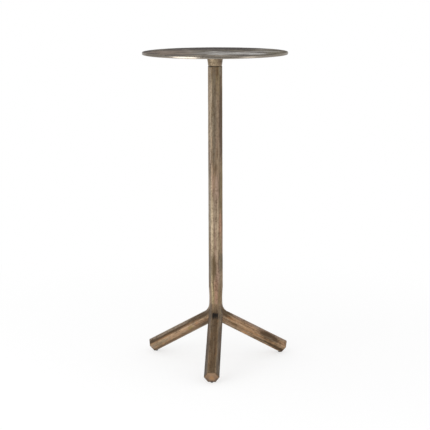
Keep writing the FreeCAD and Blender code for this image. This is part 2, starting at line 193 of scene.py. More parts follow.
# Other colours
ZINC_DULL = paint(150, 150, 148)
ZINC_BRIGHT = paint(190, 190, 188)
RUBBER = paint(30, 30, 30)
RUBBER_DUST = paint(58, 56, 53)
WHITE = (1, 1, 1, 1)
FLOOR_WHITE = (0.9, 0.9, 0.9, 1)

# Patches of colour, patina and on the bars also painted highlights and shade: how ragged their borders are,
# and the share of their width that is full
PATCH_RAGGED = 0.45
RAGGED_FINE = 0.6
RAGGED_MIDDLE = (1 + RAGGED_FINE) / 2
BAR_RAGGED = 260
DISC_RAGGED = 22
PATCH_CORE = 0.45

# The column's patches come again on its far side, this many degrees round
COLUMN_REPEATS = (180, 0)

# Patina, with painted light: the left facets and ridges painted lighter where highlights fall, the right
# face painted darker in shade, and the collar painted lighter at the top and darker at its sides.
# On the column: lowest and highest mm, degrees round from the front, width in degrees, colour, strength
COLUMN_PATCHES = [
    (385, 680, -8, 66, paint(130, 119, 103), 0.8),
    (385, 660, 24, 20, paint(160, 138, 117), 0.85),
    (400, 636, 60, 74, paint(97, 81, 67), 0.9),
    (602, 640, 60, 60, paint(146, 133, 116), 0.8),
    (602, 634, 21, 26, paint(108, 82, 56), 0.75),
    (420, 720, -64, 60, paint(188, 167, 141), 0.8),
    (350, 770, -46, 30, paint(214, 196, 170), 0.85),
    (100, 420, -31, 18, paint(158, 143, 122), 0.85),
    (220, 470, -62, 50, paint(166, 156, 140), 0.75),
    (240, 384, 5, 70, paint(192, 171, 148), 0.8),
    (226, 300, 4, 30, paint(160, 132, 114), 0.7),
    (204, 430, -34, 31, paint(210, 191, 160), 0.85),
    (222, 300, -24, 34, paint(200, 180, 150), 0.8),
    (318, 420, 12, 42, paint(182, 154, 140), 0.6),
    (246, 384, -9, 10, paint(120, 100, 82), 0.8),
    (326, 440, 62, 52, paint(130, 114, 86), 0.8),
    (258, 336, 50, 60, paint(180, 140, 113), 0.85),
    (186, 248, 58, 92, paint(84, 75, 66), 0.9),
    (174, 236, -14, 68, paint(108, 91, 67), 0.9),
    (180, 390, 18, 24, paint(200, 178, 150), 0.75),
    (150, 250, -66, 60, paint(124, 113, 98), 0.85),
    (110, 196, 6, 46, paint(178, 140, 118), 0.85),
    (88, 206, -32, 32, paint(188, 170, 132), 0.9),
    (114, 172, 42, 44, paint(128, 104, 66), 0.85),
    (160, 300, 60, 40, paint(150, 134, 100), 0.5),
    (624, 664, 0, 500, paint(160, 142, 116), 0.9),
    (640, 668, 0, 500, paint(214, 192, 160), 0.8),
    (624, 664, 52, 96, paint(108, 90, 75), 0.8),
    (622, 646, -32, 66, paint(138, 122, 100), 0.85),
]

# Patina, with painted light: lighter bands along the facets and edges where highlights fall, darker bands
# where shade falls, and the front leg's sides painted near-black in shade.
# On the legs: first and last mm from the bend, degrees round from the top, width, colour, strength
LEG_PATCHES = {
    "leg_left": [
        (-120, 300, 46, 56, paint(176, 160, 142), 0.9),
        (-30, 60, 50, 50, paint(118, 100, 82), 0.85),
        (-120, 300, 66, 25, paint(104, 84, 62), 0.95),
        (130, 200, 62, 50, paint(100, 82, 64), 0.8),
        (-120, 300, 104, 44, paint(178, 146, 116), 0.9),
        (-120, 300, 146, 46, paint(112, 92, 72), 0.85),
        (-20, 44, 116, 46, paint(122, 93, 68), 0.85),
        (38, 58, 112, 40, paint(158, 136, 84), 0.85),
        (18, 36, 102, 24, paint(160, 106, 68), 0.75),
        (104, 170, 110, 56, paint(152, 134, 108), 0.8),
        (34, 130, 92, 30, paint(196, 164, 132), 0.85),
        (-40, 150, 134, 44, paint(130, 106, 82), 0.75),
        (140, 230, 112, 56, paint(148, 132, 114), 0.7),
        (-14, 30, 142, 50, paint(92, 77, 64), 0.85),
    ],
    "leg_right": [
        (-120, 300, -34, 36, paint(170, 148, 134), 0.85),
        (-120, 300, -76, 56, paint(194, 156, 121), 0.9),
        (-120, 300, -120, 44, paint(150, 120, 92), 0.85),
        (-15, 24, -78, 40, paint(164, 120, 80), 0.85),
        (-44, 22, -46, 76, paint(102, 84, 62), 0.9),
        (74, 160, -70, 92, paint(92, 73, 54), 0.95),
        (8, 42, -110, 26, paint(104, 82, 54), 0.85),
        (-30, 7, -72, 62, paint(94, 76, 57), 0.9),
        (66, 230, -131, 42, paint(76, 60, 42), 0.95),
        (150, 200, -66, 44, paint(168, 135, 110), 0.75),
    ],
    "leg_front": [
        (-80, -4, 0, 110, paint(148, 124, 96), 0.85),
        (-120, 300, 0, 76, paint(146, 123, 97), 0.9),
        (-100, 400, 62, 52, paint(86, 73, 59), 0.9),
        (-100, 400, 92, 64, paint(58, 52, 48), 0.9),
        (-120, 300, 38, 20, paint(114, 100, 84), 0.75),
    ],
}

# On the disc, in mm: middle, half widths, colour, strength
DISC_PATCHES = [
    (0, 114, 156, 72, paint(62, 52, 49), 0.9),
    (-85, -25, 72, 95, paint(126, 109, 94), 0.8),
    (126, -4, 36, 80, paint(112, 104, 82), 0.9),
    (-6, -128, 80, 26, paint(146, 134, 117), 0.8),
    (-143, 10, 16, 44, paint(74, 66, 60), 0.8),
    (124, -64, 34, 26, paint(88, 80, 58), 0.85),
]

# Where the disc is rubbed light, in mm: middle, half widths, strength
DISC_RUBBED = [
    (34, -58, 94, 64, 1.0),
    (68, -72, 46, 26, 0.6),
    (4, -14, 42, 28, 0.5),
    (-40, -5, 60, 40, 0.3),
    (98, 2, 46, 32, 0.75),
]


# Places on the bars

def hexagon(flats, rounding):
    """Outline of a hexagon with rounded corners, as (across, aside) points."""
    reach = (flats / 2 - rounding) / math.cos(SIXTH / 2)
    corners = []
    for k in range(6):
        middle = SIXTH * (k + 0.5)
        swing = middle + SIXTH * (np.arange(CORNER_STEPS + 1) / CORNER_STEPS - 0.5)
        across = reach * math.cos(middle) + rounding * np.cos(swing)
        aside = reach * math.sin(middle) + rounding * np.sin(swing)
        corners.append(np.stack([across, aside], axis=1))
    outline = []
    shares = np.arange(1, FLAT_STEPS)[:, None] / FLAT_STEPS
    for corner, following in zip(corners, corners[1:] + corners[:1]):
        outline.append(corner)
        outline.append(corner[-1] * (1 - shares) + following[0] * shares)
    return np.concatenate(outline)


def on_path(run, outline, heading):
    """The outline's points in space, run along the path of the bar that turns out towards heading."""
    across, aside = outline.T
    turn = min(max(run / BEND_RADIUS, 0), BEND_TURN)
    before = min(run, 0)
    after = max(run - BEND_LENGTH, 0)
    reach = BEND_RADIUS - (BEND_RADIUS - across) * math.cos(turn) + after * math.sin(BEND_TURN)
    height = BEND_START - before - (BEND_RADIUS - across) * math.sin(turn) - after * math.cos(BEND_TURN)
    x = reach * math.cos(heading) - aside * math.sin(heading)
    y = reach * math.sin(heading) + aside * math.cos(heading)
    return np.stack([x, y, height], axis=1)


def nearest_heading(points):
    """The heading of the leg on whose side each point lies."""
    headings = np.array(list(HEADINGS.values()))
    azimuth = np.arctan2(points[:, 1], points[:, 0])
    turn = np.abs((azimuth[:, None] - headings + math.pi) % (2 * math.pi) - math.pi)
    return headings[turn.argmin(axis=1)]


class BarPlaces:
    """Where points lie on the bars, worked back from their places in space."""

    def __init__(self, points):
        heading = nearest_heading(points)
        cos, sin = np.cos(heading), np.sin(heading)
        reach = points[:, 0] * cos + points[:, 1] * sin
        self.aside = points[:, 1] * cos - points[:, 0] * sin
        out = reach - BEND_RADIUS
        down = BEND_START - points[:, 2]
        after = out * math.sin(BEND_TURN) + down * math.cos(BEND_TURN)
        above = BEND_RADIUS + out * math.cos(BEND_TURN) - down * math.sin(BEND_TURN)
        on_leg = (down > 0) & (after > 0)
        on_bend = (down > 0) & ~on_leg
        turn = np.arctan2(down, -out)
        self.run = np.select([on_leg, on_bend], [BEND_LENGTH + after, BEND_RADIUS * turn], down)
        self.across = np.select([on_leg, on_bend], [above, BEND_RADIUS - np.hypot(out, down)], reach)
        self.below_neck = down > 0
        self.height = points[:, 2]
        self.heading = heading
        self.around = np.degrees(np.arctan2(self.aside, self.across))
        self.azimuth = np.degrees(np.arctan2(points[:, 0], -points[:, 1]))
        self.to_crease = reach * math.sin(SIXTH) - np.abs(self.aside) * math.cos(SIXTH)
        # The grain keeps its direction from the column round into each leg
        self.grain = np.stack(
            [self.across * cos - self.aside * sin, self.across * sin + self.aside * cos, -self.run], axis=1
        )

    def cut(self):
        """0 along the sides, rising to 1 over the rounded edge of a leg's end face."""
        return np.clip((self.run - (LEG_STOP - CORNER_ROUND)) / CORNER_ROUND, 0, 1)

    def edge(self):
        """1 along the rounded corners, falling to 0 on the flats."""
        offset = np.arctan2(self.aside, self.across) % SIXTH - SIXTH / 2
        radius = np.hypot(self.across, self.aside)
        along = np.clip(1 - np.abs(radius * np.sin(offset)) / EDGE_WIDTH, 0, 1)
        outer = radius > WAIST_FLATS * OUTER_SHARE
        cut = self.cut()
        return np.maximum(along * outer * (1 - cut), 4 * cut * (1 - cut))

    def hollow(self):
        """1 on top of each leg's root, in the creases between legs and at the side legs' lowest corners."""
        past = self.run - ROOT_SOOT_MIDDLE
        fold = np.clip(ROOT_SOOT_CORE - ROOT_SOOT_CORE * np.abs(past) / ROOT_SOOT_REACH, 0, 1)
        fold = fold * (1 - ROOT_SOOT_LOSS * np.clip(past / ROOT_SOOT_FADE, 0, 1))
        upper = np.clip(self.across / (BEND_FLATS / 2), 0, 1) ** 2
        in_front = self.heading == HEADINGS["leg_front"]
        root = fold * upper * np.where(in_front, 1, SIDE_SOOT)
        crease = CREASE_SOOT * np.clip(1 - self.to_crease / CREASE_WIDTH, 0, 1) * self.below_neck
        # Darker at the side legs' lowest corners, near the floor
        at_floor = np.clip(FLOOR_DARKNESS - self.height / FLOOR_DARK_HEIGHT, 0, 1) * ~in_front
        return np.maximum.reduce([root, crease, at_floor])

    def lip(self):
        """On a leg's end face, 1 along its lower border, where shade is painted, and -1 in its middle."""
        sides = SIXTH * np.arange(6)
        reach = np.outer(self.across, np.cos(sides)) + np.outer(self.aside, np.sin(sides))
        border = LEG_END_FLATS / 2 - reach.max(axis=1)
        lower = np.clip(LIP_BELOW - self.across / LIP_CORE, 0, 1)
        rim = lower * np.clip(LIP_FULL - border / LIP_WIDTH, 0, 1)
        core = np.clip(1 - np.hypot(self.across, self.aside) / LIP_CORE, 0, 1)
        return self.cut() * (rim - core)

    def joint_shade(self, depth):
        """Painted shade in the joint under the collar, from 1 at no depth, most of it on one side."""
        side = np.cos(np.radians(self.azimuth - JOINT_SHADE_AZIMUTH))
        share = JOINT_SHADE_EVEN + (1 - JOINT_SHADE_EVEN) * side
        return JOINT_SHADE * np.clip(1 - depth, 0, 1) * share


def uneven(points, waves):
    """Smooth noise from 0 to 1 at each point, with the given waves per metre along each axis."""
    return np.array([0.5 + 0.5 * noise.noise(place) for place in points * waves])


# Meshes

def add_object(name, data):
    """A new object in the scene."""
    made = bpy.data.objects.new(name, data)
    bpy.context.scene.collection.objects.link(made)
    return made


def skin(rings, cyclic=False):
    """A mesh under construction: quads between rings of equal numbers of points."""
    rings = np.asarray(rings)
    count, around = rings.shape[:2]
    bm = bmesh.new()
    verts = [[bm.verts.new(point) for point in ring] for ring in rings]
    for k in range(count if cyclic else count - 1):
        ring, following = verts[k], verts[(k + 1) % count]
        for j in range(around):
            ahead = (j + 1) % around
            bm.faces.new((ring[j], ring[ahead], following[ahead], following[j]))
    bmesh.ops.recalc_face_normals(bm, faces=bm.faces)
    return bm


def places_of(bm):
    """The vertices of a mesh under construction, as an array."""
    return np.array([vert.co for vert in bm.verts])


def sink(bm, depth):
    """Moves each vertex inwards by its own depth."""
    bm.normal_update()
    for vert, amount in zip(bm.verts, depth):
        vert.co -= vert.normal * float(amount)


def sink_bar(bm):
    """The unevenness of a bar's flats, deeper along its corners."""
    places = BarPlaces(places_of(bm))
    flat = FLAT_SINK * uneven(places.grain, FLAT_WAVES)
    corner = EDGE_SINK * places.edge() * uneven(places.grain, CORNER_WAVES)
    sink(bm, flat + corner)


def close_ends(bm):
    """Fills each open end with a face."""
    bmesh.ops.holes_fill(bm, edges=[edge for edge in bm.edges if edge.is_boundary], sides=0)
    bmesh.ops.recalc_face_normals(bm, faces=bm.faces)


def to_mesh(bm, name):
    """The finished mesh, smooth except along sharp edges."""
    mesh = bpy.data.meshes.new(name)
    bm.to_mesh(mesh)
    bm.free()
    mesh.shade_smooth()
    mesh.set_sharp_from_angle(angle=SHARP_ANGLE)
    return mesh


def drilled(mesh, centre, radius, low, high):
    """The mesh with a round upright hole cut from low to high."""
    bm = bmesh.new()
    bmesh.ops.create_cone(
        bm, cap_ends=True, segments=HOLE_SEGMENTS, radius1=radius, radius2=radius, depth=high - low,
        matrix=Matrix.Translation((*centre, (low + high) / 2)),
    )
    drill = add_object("drill", to_mesh(bm, "drill"))
    holder = add_object("drilled", mesh)
    cut = holder.modifiers.new("hole", "BOOLEAN")
    cut.operation = "DIFFERENCE"
    cut.solver = "EXACT"
    cut.object = drill
    evaluated = holder.evaluated_get(bpy.context.evaluated_depsgraph_get())
    result = bpy.data.meshes.new_from_object(evaluated)
    result.name = mesh.name
    for item in (drill, holder):
        bpy.data.objects.remove(item)
    result.shade_smooth()
    result.set_sharp_from_angle(angle=SHARP_ANGLE)
    return result


def mark(mesh, name, kind, values):
    """Keeps a value for each vertex on the mesh, for the materials to read."""
    attribute = mesh.attributes.new(name, kind, "POINT")
    key = {"FLOAT_VECTOR": "vector", "FLOAT_COLOR": "color"}.get(kind, "value")
    attribute.data.foreach_set(key, np.asarray(values, dtype=np.float32).ravel())


def mesh_places(mesh):
    """The vertices of a mesh, as an array."""
    places = np.zeros(len(mesh.vertices) * 3, dtype=np.float32)
    mesh.vertices.foreach_get("co", places)
    return places.reshape(-1, 3).astype(float)


class Patches:
    """Patches of colour painted over one another, patina and on the bars also painted highlights and shade,
    as a colour and a share for each point.
    """

    def __init__(self, points, ragged):
        self.colour = np.zeros((len(points), 3))
        self.share = np.zeros(len(points))
        coarse = uneven(points, (ragged,) * 3)
        fine = uneven(points, (2 * ragged,) * 3)
        self.ragged = coarse + RAGGED_FINE * fine - RAGGED_MIDDLE

    def add(self, along, around, colour, strength):
        """A patch where along and around are less than 1 from its middle."""
        distance = np.hypot(along, around) + PATCH_RAGGED * self.ragged
        fade = np.clip((1 - distance) / (1 - PATCH_CORE), 0, 1)
        cover = strength * fade * fade * (3 - 2 * fade)
        total = cover + self.share * (1 - cover)
        over = np.divide(cover, total, out=np.zeros_like(total), where=total > 0)
        self.colour += over[:, None] * (np.array(colour[:3]) - self.colour)
        self.share = total

    def values(self):
        """Each point's colour and share, as four numbers."""
        return np.column_stack([self.colour, self.share])


def apart(first, second):
    """Degrees from second to first, the short way round."""
    return (first - second + 180) % 360 - 180


def along_span(values, low, high):
    """How far values lie from the middle of a span given in mm, where its ends are at -1 and 1."""
    return (values - (low + high) * MM / 2) / ((high - low) * MM / 2)


def bar_patches(points):
    """The patches of the column and the legs, where the photo shows them and again on the far side."""
    # Besides patina, these rows paint highlights and shade on the bars.
    places = BarPlaces(points)
    patches = Patches(places.grain, BAR_RAGGED)
    for low, high, azimuth, width, colour, strength in COLUMN_PATCHES:
        along = along_span(points[:, 2], low, high)
        for turn in COLUMN_REPEATS:
            around = apart(places.azimuth, azimuth + turn) / (width / 2)
            patches.add(along, around, colour, strength * ~places.below_neck)
    for leg, rows in LEG_PATCHES.items():
        on_leg = places.below_neck & (places.heading == HEADINGS[leg])
        for start, stop, angle, width, colour, strength in rows:
            along = along_span(places.run - BEND_LENGTH, start, stop)
            near = np.abs(apart(places.around, angle))
            far = np.abs(apart(places.around, -angle))
            around = np.minimum(near, far) / (width / 2)
            patches.add(along, around, colour, strength * on_leg)
    return patches.values()


def mark_bar(mesh, in_joint=0.0):
    """The marks that the bronze reads: grain, edge, hollow, cut, lip and patch."""
    points = mesh_places(mesh)
    places = BarPlaces(points)
    mark(mesh, "grain", "FLOAT_VECTOR", places.grain)
    # in_joint is painted shade in the joint under the collar, kept with the hollows
    mark(mesh, "edge", "FLOAT", places.edge() * (1 - in_joint))
    mark(mesh, "hollow", "FLOAT", np.maximum(places.hollow(), in_joint))
    mark(mesh, "cut", "FLOAT", places.cut())
    mark(mesh, "lip", "FLOAT", places.lip())
    mark(mesh, "patch", "FLOAT_COLOR", bar_patches(points))


def add_piece(node, body, mesh, material):
    """A piece that shows in place of a node and moves with that node's body."""
    piece = add_object(node + "_finish", mesh)
    mesh.materials.append(material)
    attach(piece, body)
    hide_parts(node)


def stations(start, stop, step):
    """Evenly spread values from start to stop, at most step apart."""
    return np.linspace(start, stop, max(2, math.ceil(abs(stop - start) / step) + 1))


# The stand's pieces

def column_mesh():
    """The hexagonal tube, with its ends just broken and a round bore."""
    head, foot = COLUMN_HIGH.z, COLUMN_LOW.z
    sides = stations(foot + COLUMN_FOOT_BEVEL, head - COLUMN_HEAD_BEVEL, RING_STEP)
    levels = [(foot, COLUMN_FOOT_BEVEL), *((z, 0) for z in sides), (head, COLUMN_HEAD_BEVEL)]
    rings = []
    for level, bevel in levels:
        outline = hexagon(COLUMN_FLATS - 2 * bevel, CORNER_ROUND - bevel)
        rings.append(on_path(BEND_START - level, outline, HEADINGS["leg_front"]))
    bm = skin(rings)
    sink_bar(bm)
    outer = places_of(bm).reshape(len(rings), -1, 3)
    bm.free()
    bore = []
    for ring, level in ((outer[-1], head), (outer[0], foot)):
        inner = ring.copy()
        inner[:, :2] *= COLUMN_BORE / np.linalg.norm(inner[:, :2], axis=1)[:, None]
        inner[:, 2] = level
        bore.append(inner)
    mesh = to_mesh(skin([*outer, *bore], cyclic=True), "column_tube_finish")
    points = mesh_places(mesh)
    # The top of the column gets painted shade from the joint under the collar
    mark_bar(mesh, in_joint=BarPlaces(points).joint_shade((head - points[:, 2]) / JOINT_SHADE_DEPTH))
    return mesh


def neck_flats(run):
    """Width of the neck between its top and the bend: a curve through its waist."""
    share = -run / NECK_LENGTH
    low = BEND_FLATS * (share - WAIST_SHARE) * (share - 1) / WAIST_SHARE
    middle = WAIST_FLATS * share * (share - 1) / (WAIST_SHARE * (WAIST_SHARE - 1))
    high = COLUMN_FLATS * share * (share - WAIST_SHARE) / (1 - WAIST_SHARE)
    return low + middle + high


def hub_flats(run):
    """Width of the hub at each place of its path."""
    if run < 0:
        return neck_flats(run)
    return BEND_FLATS + (LEG_ROOT_FLATS - BEND_FLATS) * run / LEG_START


def hub_arm(heading):
    """The neck's third and the arm that turns out towards heading, cut off where the next arms begin."""
    runs = [*stations(-NECK_LENGTH, 0, BEND_STEP), *stations(0, LEG_START, BEND_STEP)[1:]]
    arm = skin([on_path(run, hexagon(hub_flats(run), CORNER_ROUND), heading) for run in runs])
    for side in (-1, 1):
        away = heading + side * (SIXTH + math.radians(90))
        bmesh.ops.bisect_plane(
            arm, geom=[*arm.verts, *arm.edges, *arm.faces], dist=CUT_JOIN,
            plane_co=(0, 0, 0), plane_no=(math.cos(away), math.sin(away), 0), clear_outer=True,
        )
    return arm


def hub_mesh():
    """The casting that joins the column to the legs: three arms with softened creases between them."""
    hub = bmesh.new()
    for heading in HEADINGS.values():
        part = to_mesh(hub_arm(heading), "arm")
        hub.from_mesh(part)
        bpy.data.meshes.remove(part)
    bmesh.ops.remove_doubles(hub, verts=hub.verts, dist=HUB_JOIN)
    bmesh.ops.recalc_face_normals(hub, faces=hub.faces)
    places = BarPlaces(places_of(hub))
    near = (places.to_crease < CREASE_WIDTH / 2) & places.below_neck
    creases = [vert for vert, chosen in zip(hub.verts, near) if chosen]
    for _ in range(CREASE_ROUNDS):
        bmesh.ops.smooth_vert(
            hub, verts=creases, factor=CREASE_PULL, use_axis_x=True, use_axis_y=True, use_axis_z=True
        )
    sink_bar(hub)
    close_ends(hub)
    solid = to_mesh(hub, "base_hub_finish")
    mesh = drilled(solid, (0, 0), BOLT_SEAT_RADIUS, HUB_LOW.z, WASHER_HIGH.z)
    mark_bar(mesh)
    return mesh


def leg_mesh(node, heading):
    """A tapered hexagonal bar with a rounded square end, and the socket of its glide."""
    taper = (LEG_END_FLATS - LEG_ROOT_FLATS) / LEG_LENGTH
    widths = []
    for run in stations(LEG_START, LEG_STOP - CORNER_ROUND, RING_STEP):
        widths.append((run, LEG_ROOT_FLATS + taper * (run - LEG_START), CORNER_ROUND))
    for turn in np.linspace(0, math.pi / 2, ROUND_STEPS + 1)[1:]:
        inset = CORNER_ROUND * (1 - math.cos(turn))
        run = LEG_STOP - CORNER_ROUND + CORNER_ROUND * math.sin(turn)
        widths.append((run, LEG_END_FLATS - 2 * inset, max(CORNER_ROUND - inset, LEAST_ROUND)))
    for share in END_FACE_SHARES:
        widths.append((LEG_STOP, (LEG_END_FLATS - 2 * CORNER_ROUND) * share, LEAST_ROUND * share))
    bm = skin([on_path(run, hexagon(flats, rounding), heading) for run, flats, rounding in widths])
    sink_bar(bm)
    close_ends(bm)
    solid = to_mesh(bm, node + "_finish")
    low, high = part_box(node.replace("leg", "glide"))
    centre = ((low.x + high.x) / 2, (low.y + high.y) / 2)
    mesh = drilled(solid, centre, (high.x - low.x) / 2, low.z, high.z)
    mark_bar(mesh)
    return mesh


# The turned pieces of the top

def fillet(centre, radius, start, stop):
    """Points of a round in a profile, as (radius, height), between two angles in degrees."""
    angles = np.radians(np.linspace(start, stop, ROUND_STEPS + 1))
    return [(centre[0] + radius * math.cos(a), centre[1] + radius * math.sin(a)) for a in angles]


def turned(profile, segments, step):
    """A mesh under construction: the profile's points turned about the upright axis, long runs divided."""
    points = [profile[0]]
    for start, stop in zip(profile, profile[1:]):
        count = max(1, math.ceil(math.dist(start, stop) / step))
        points += [tuple(np.add(start, np.subtract(stop, start) * k / count)) for k in range(1, count + 1)]
    angles = np.arange(segments) * 2 * math.pi / segments
    rings = []
    for radius, height in points:
        ring = [radius * np.cos(angles), radius * np.sin(angles), np.full(segments, height)]
        rings.append(np.stack(ring, axis=1))
    bm = skin(rings)
    bmesh.ops.remove_doubles(bm, verts=bm.verts, dist=TURNED_JOIN)
    bmesh.ops.recalc_face_normals(bm, faces=bm.faces)
    return bm


def radii(points):
    """How far each point is from the upright axis."""
    return np.hypot(points[:, 0], points[:, 1])


def collar_mesh():
    """The tapered collar, with its spigot above and the bore for the stud below."""
    foot, head, top = COLLAR_LOW.z, DISC_LOW.z, COLLAR_HIGH.z
    bore = STUD_RADIUS + SEAT_CLEARANCE
    bore_top = STUD_HIGH.z + COLLAR_FOOT_ROUND
    round_centre = (COLLAR_FOOT_RADIUS - COLLAR_FOOT_ROUND, foot + COLLAR_FOOT_ROUND)
    profile = [(0, bore_top), (bore, bore_top), (bore, foot)]
    profile += fillet(round_centre, COLLAR_FOOT_ROUND, -90, 0)
    profile += [(COLLAR_RADIUS, head), (SPIGOT_RADIUS, head), (SPIGOT_RADIUS, top), (0, top)]
    bm = turned(profile, COLLAR_SEGMENTS, COLLAR_STEP)
    places = places_of(bm)
    outer = radii(places) > SPIGOT_RADIUS + SEAT_CLEARANCE
    sink(bm, FLAT_SINK * outer * uneven(places, COLLAR_WAVES))
    mesh = to_mesh(bm, "top_collar_finish")
    places = mesh_places(mesh)
    radius = radii(places)
    above_foot = places[:, 2] - foot
    foot_edge = np.clip(1 - np.abs(above_foot - COLLAR_FOOT_ROUND) / COLLAR_FOOT_ROUND, 0, 1)
    # The collar's foot gets painted shade from the joint
    in_joint = BarPlaces(places).joint_shade(above_foot / COLLAR_SHADE_DEPTH)
    # The grain runs round the collar, as turning leaves it
    grain = np.column_stack([above_foot, RING_SPREAD * places[:, 1], places[:, 0]])
    mark(mesh, "grain", "FLOAT_VECTOR", grain)
    mark(mesh, "edge", "FLOAT", foot_edge * (radius > SPIGOT_RADIUS) * (1 - in_joint))
    mark(mesh, "hollow", "FLOAT", in_joint)
    for absent in ("cut", "lip"):
        mark(mesh, absent, "FLOAT", np.zeros(len(places)))
    mark(mesh, "patch", "FLOAT_COLOR", bar_patches(places))
    return mesh


def on_disc(points, x, y, width, depth):
    """How far points lie from the middle of a disc patch along x and y, where its border is at 1."""
    return (points[:, 0] / MM - x) / width, (points[:, 1] / MM - y) / depth


def disc_mesh():
    """The round plate, with its rounded rim and the recess for the collar's spigot."""
    low, high = DISC_LOW.z, DISC_HIGH.z
    recess = COLLAR_HIGH.z + SEAT_CLEARANCE
    rim = DISC_RADIUS - RIM_ROUND
    recess_radius = SPIGOT_RADIUS + SEAT_CLEARANCE
    profile = [(0, recess), (recess_radius, recess), (recess_radius, low)]
    profile += fillet((rim, low + RIM_ROUND), RIM_ROUND, -90, 0)
    profile += fillet((rim, high - RIM_ROUND), RIM_ROUND, 0, 90)
    profile += [(0, high)]
    bm = turned(profile, DISC_SEGMENTS, DISC_STEP)
    places = places_of(bm)
    radius = radii(places)
    outside = radius > COLLAR_RADIUS
    above = places[:, 2] > recess + SEAT_CLEARANCE
    broad = DISC_BROAD_SHARE * uneven(places, DISC_BROAD_WAVES)
    small = (1 - DISC_BROAD_SHARE) * uneven(places, DISC_SMALL_WAVES)
    at_rim = np.clip((radius - rim + 2 * RIM_ROUND) / (3 * RIM_ROUND), 0, 1)
    depth = DISC_SINK * (broad + small) + RIM_SINK * at_rim * uneven(places, RIM_WAVES)
    sink(bm, depth * (outside | above))
    mesh = to_mesh(bm, "top_disc_finish")
    places = mesh_places(mesh)
    radius = radii(places)
    mark(mesh, "grain", "FLOAT_VECTOR", places)
    mark(mesh, "edge", "FLOAT", np.clip(1 - (DISC_RADIUS - radius) / EDGE_WIDTH, 0, 1))
    patches = Patches(places, DISC_RAGGED)
    rubbed = Patches(places, DISC_RAGGED)
    for *area, colour, strength in DISC_PATCHES:
        patches.add(*on_disc(places, *area), colour, strength)
    for *area, strength in DISC_RUBBED:
        rubbed.add(*on_disc(places, *area), WHITE, strength)
    mark(mesh, "patch", "FLOAT_COLOR", patches.values())
    mark(mesh, "rubbed", "FLOAT", rubbed.share)
    return mesh


# Materials

class Finish:
    """A material under construction, with short calls for the nodes that the finishes share."""

    def __init__(self, name):
        self.material = bpy.data.materials.new(name)
        self.material.use_nodes = True
        self.tree = self.material.node_tree
        self.shader = self.tree.nodes["Principled BSDF"]

    def node(self, kind, inputs=(), output=0, **settings):
        """One output of a new node, with its settings, and its inputs set or linked by index or name."""
        made = self.tree.nodes.new("ShaderNode" + kind)
        for key, value in settings.items():
            setattr(made, key, value)
        for key, value in dict(inputs).items():
            self.put(made.inputs[key], value)
        return made.outputs[output]

    def put(self, socket, value):
        """Sets a socket, or links it if the value is another node's output."""
        if isinstance(value, bpy.types.NodeSocket):
            self.tree.links.new(value, socket)
        else:
            socket.default_value = value

    def set(self, **values):
        """Sets or links the shader's own sockets, named with underscores for spaces."""
        for key, value in values.items():
            self.put(self.shader.inputs[key.replace("_", " ")], value)

    def mark(self, name, output="Fac"):
        """A value that the mesh keeps for each vertex."""
        return self.node("Attribute", output=output, attribute_name=name)

    def noise(self, place, waves, detail=3.0, roughness=0.5, shift=0.0):
        """Noise with the given waves per metre along each axis of place."""
        spread = self.node("Mapping", {"Vector": place, "Location": (shift, shift, shift), "Scale": waves})
        inputs = {"Vector": spread, "Scale": 1.0, "Detail": detail, "Roughness": roughness}
        return self.node("TexNoise", inputs, "Fac")

    def steps(self, value, low, high, start=0.0, stop=1.0):
        """A smooth change from start, where value is low, to stop, where it is high."""
        inputs = {"Value": value, "From Min": low, "From Max": high, "To Min": start, "To Max": stop}
        return self.node("MapRange", inputs, interpolation_type="SMOOTHSTEP")

    def sum(self, first, second):
        """Two values added."""
        return self.node("Math", {0: first, 1: second}, operation="ADD")

    def times(self, first, second):
        """Two values multiplied."""
        return self.node("Math", {0: first, 1: second}, operation="MULTIPLY")

    def swing(self, noise, size):
        """Noise about nought instead of one half, times size."""
        return self.times(self.sum(noise, -0.5), size)

    def mix(self, share, first, second):
        """A colour between two, first at a share of 0 and second at 1."""
        made = self.tree.nodes.new("ShaderNodeMix")
        made.data_type = "RGBA"
        for name, value in {"Factor": share, "A": first, "B": second}.items():
            socket = next(s for s in made.inputs if s.name == name and s.enabled)
            self.put(socket, value)
        return next(s for s in made.outputs if s.enabled)

    def bump(self, height, depth, strength):
        """A normal that makes the height show, up to depth."""
        return self.node("Bump", {"Height": height, "Distance": depth, "Strength": strength}, "Normal")

    def surface(self, shader):
        """Ends the material with this shader instead of its own."""
        self.tree.links.new(shader, self.tree.nodes["Material Output"].inputs["Surface"])

    def seen_directly(self):
        """1 for rays from the camera and for those that metal and glass throw on, and 0 for the rest."""
        path = self.tree.nodes.new("ShaderNodeLightPath")
        total = path.outputs["Is Camera Ray"]
        for name in ("Is Glossy Ray", "Is Transmission Ray"):
            total = self.node("Math", {0: total, 1: path.outputs[name]}, operation="MAXIMUM")
        return total


# The bronze's layers: where each starts and is full on its noise or mark, and its share at both
ON_LEG = (-0.02, -0.07)
DARK_STREAKS = (0.62, 0.38, 0, 0.5)
DARK_SMEARS = (0.62, 0.4, -0.15, 0.4)
ROSE_HUE = (0.52, 0.66, 0, 0.75)
OLIVE_HUE = (0.47, 0.36, 0, 0.7)
ORANGE_WARMTH = (0.42, 0.6)
ORANGE_ON_LEG = (0, 1, 0.12, 0.85)
DARK_LINES = (0.5, 0.36)
DARK_SPECKS = (0.47, 0.33, 0, 0.45)
LIGHT_STROKES = (0.56, 0.7, 0, 0.4)
WORN_EDGE = (0.25, 0.95)
WORN_STROKES = (0.35, 0.6, 0.1, 1)
# Painted shade on the rounded border of each leg's end face and along its lower border, with a lighter
# middle
ROLLED_START = (0.05, 0.4)
ROLLED_STOP = (1, 0.75)
FACE_CORE = (-0.1, -0.7, 0, 0.6)
FACE_LIP = (0.1, 0.8, 0, 0.85)
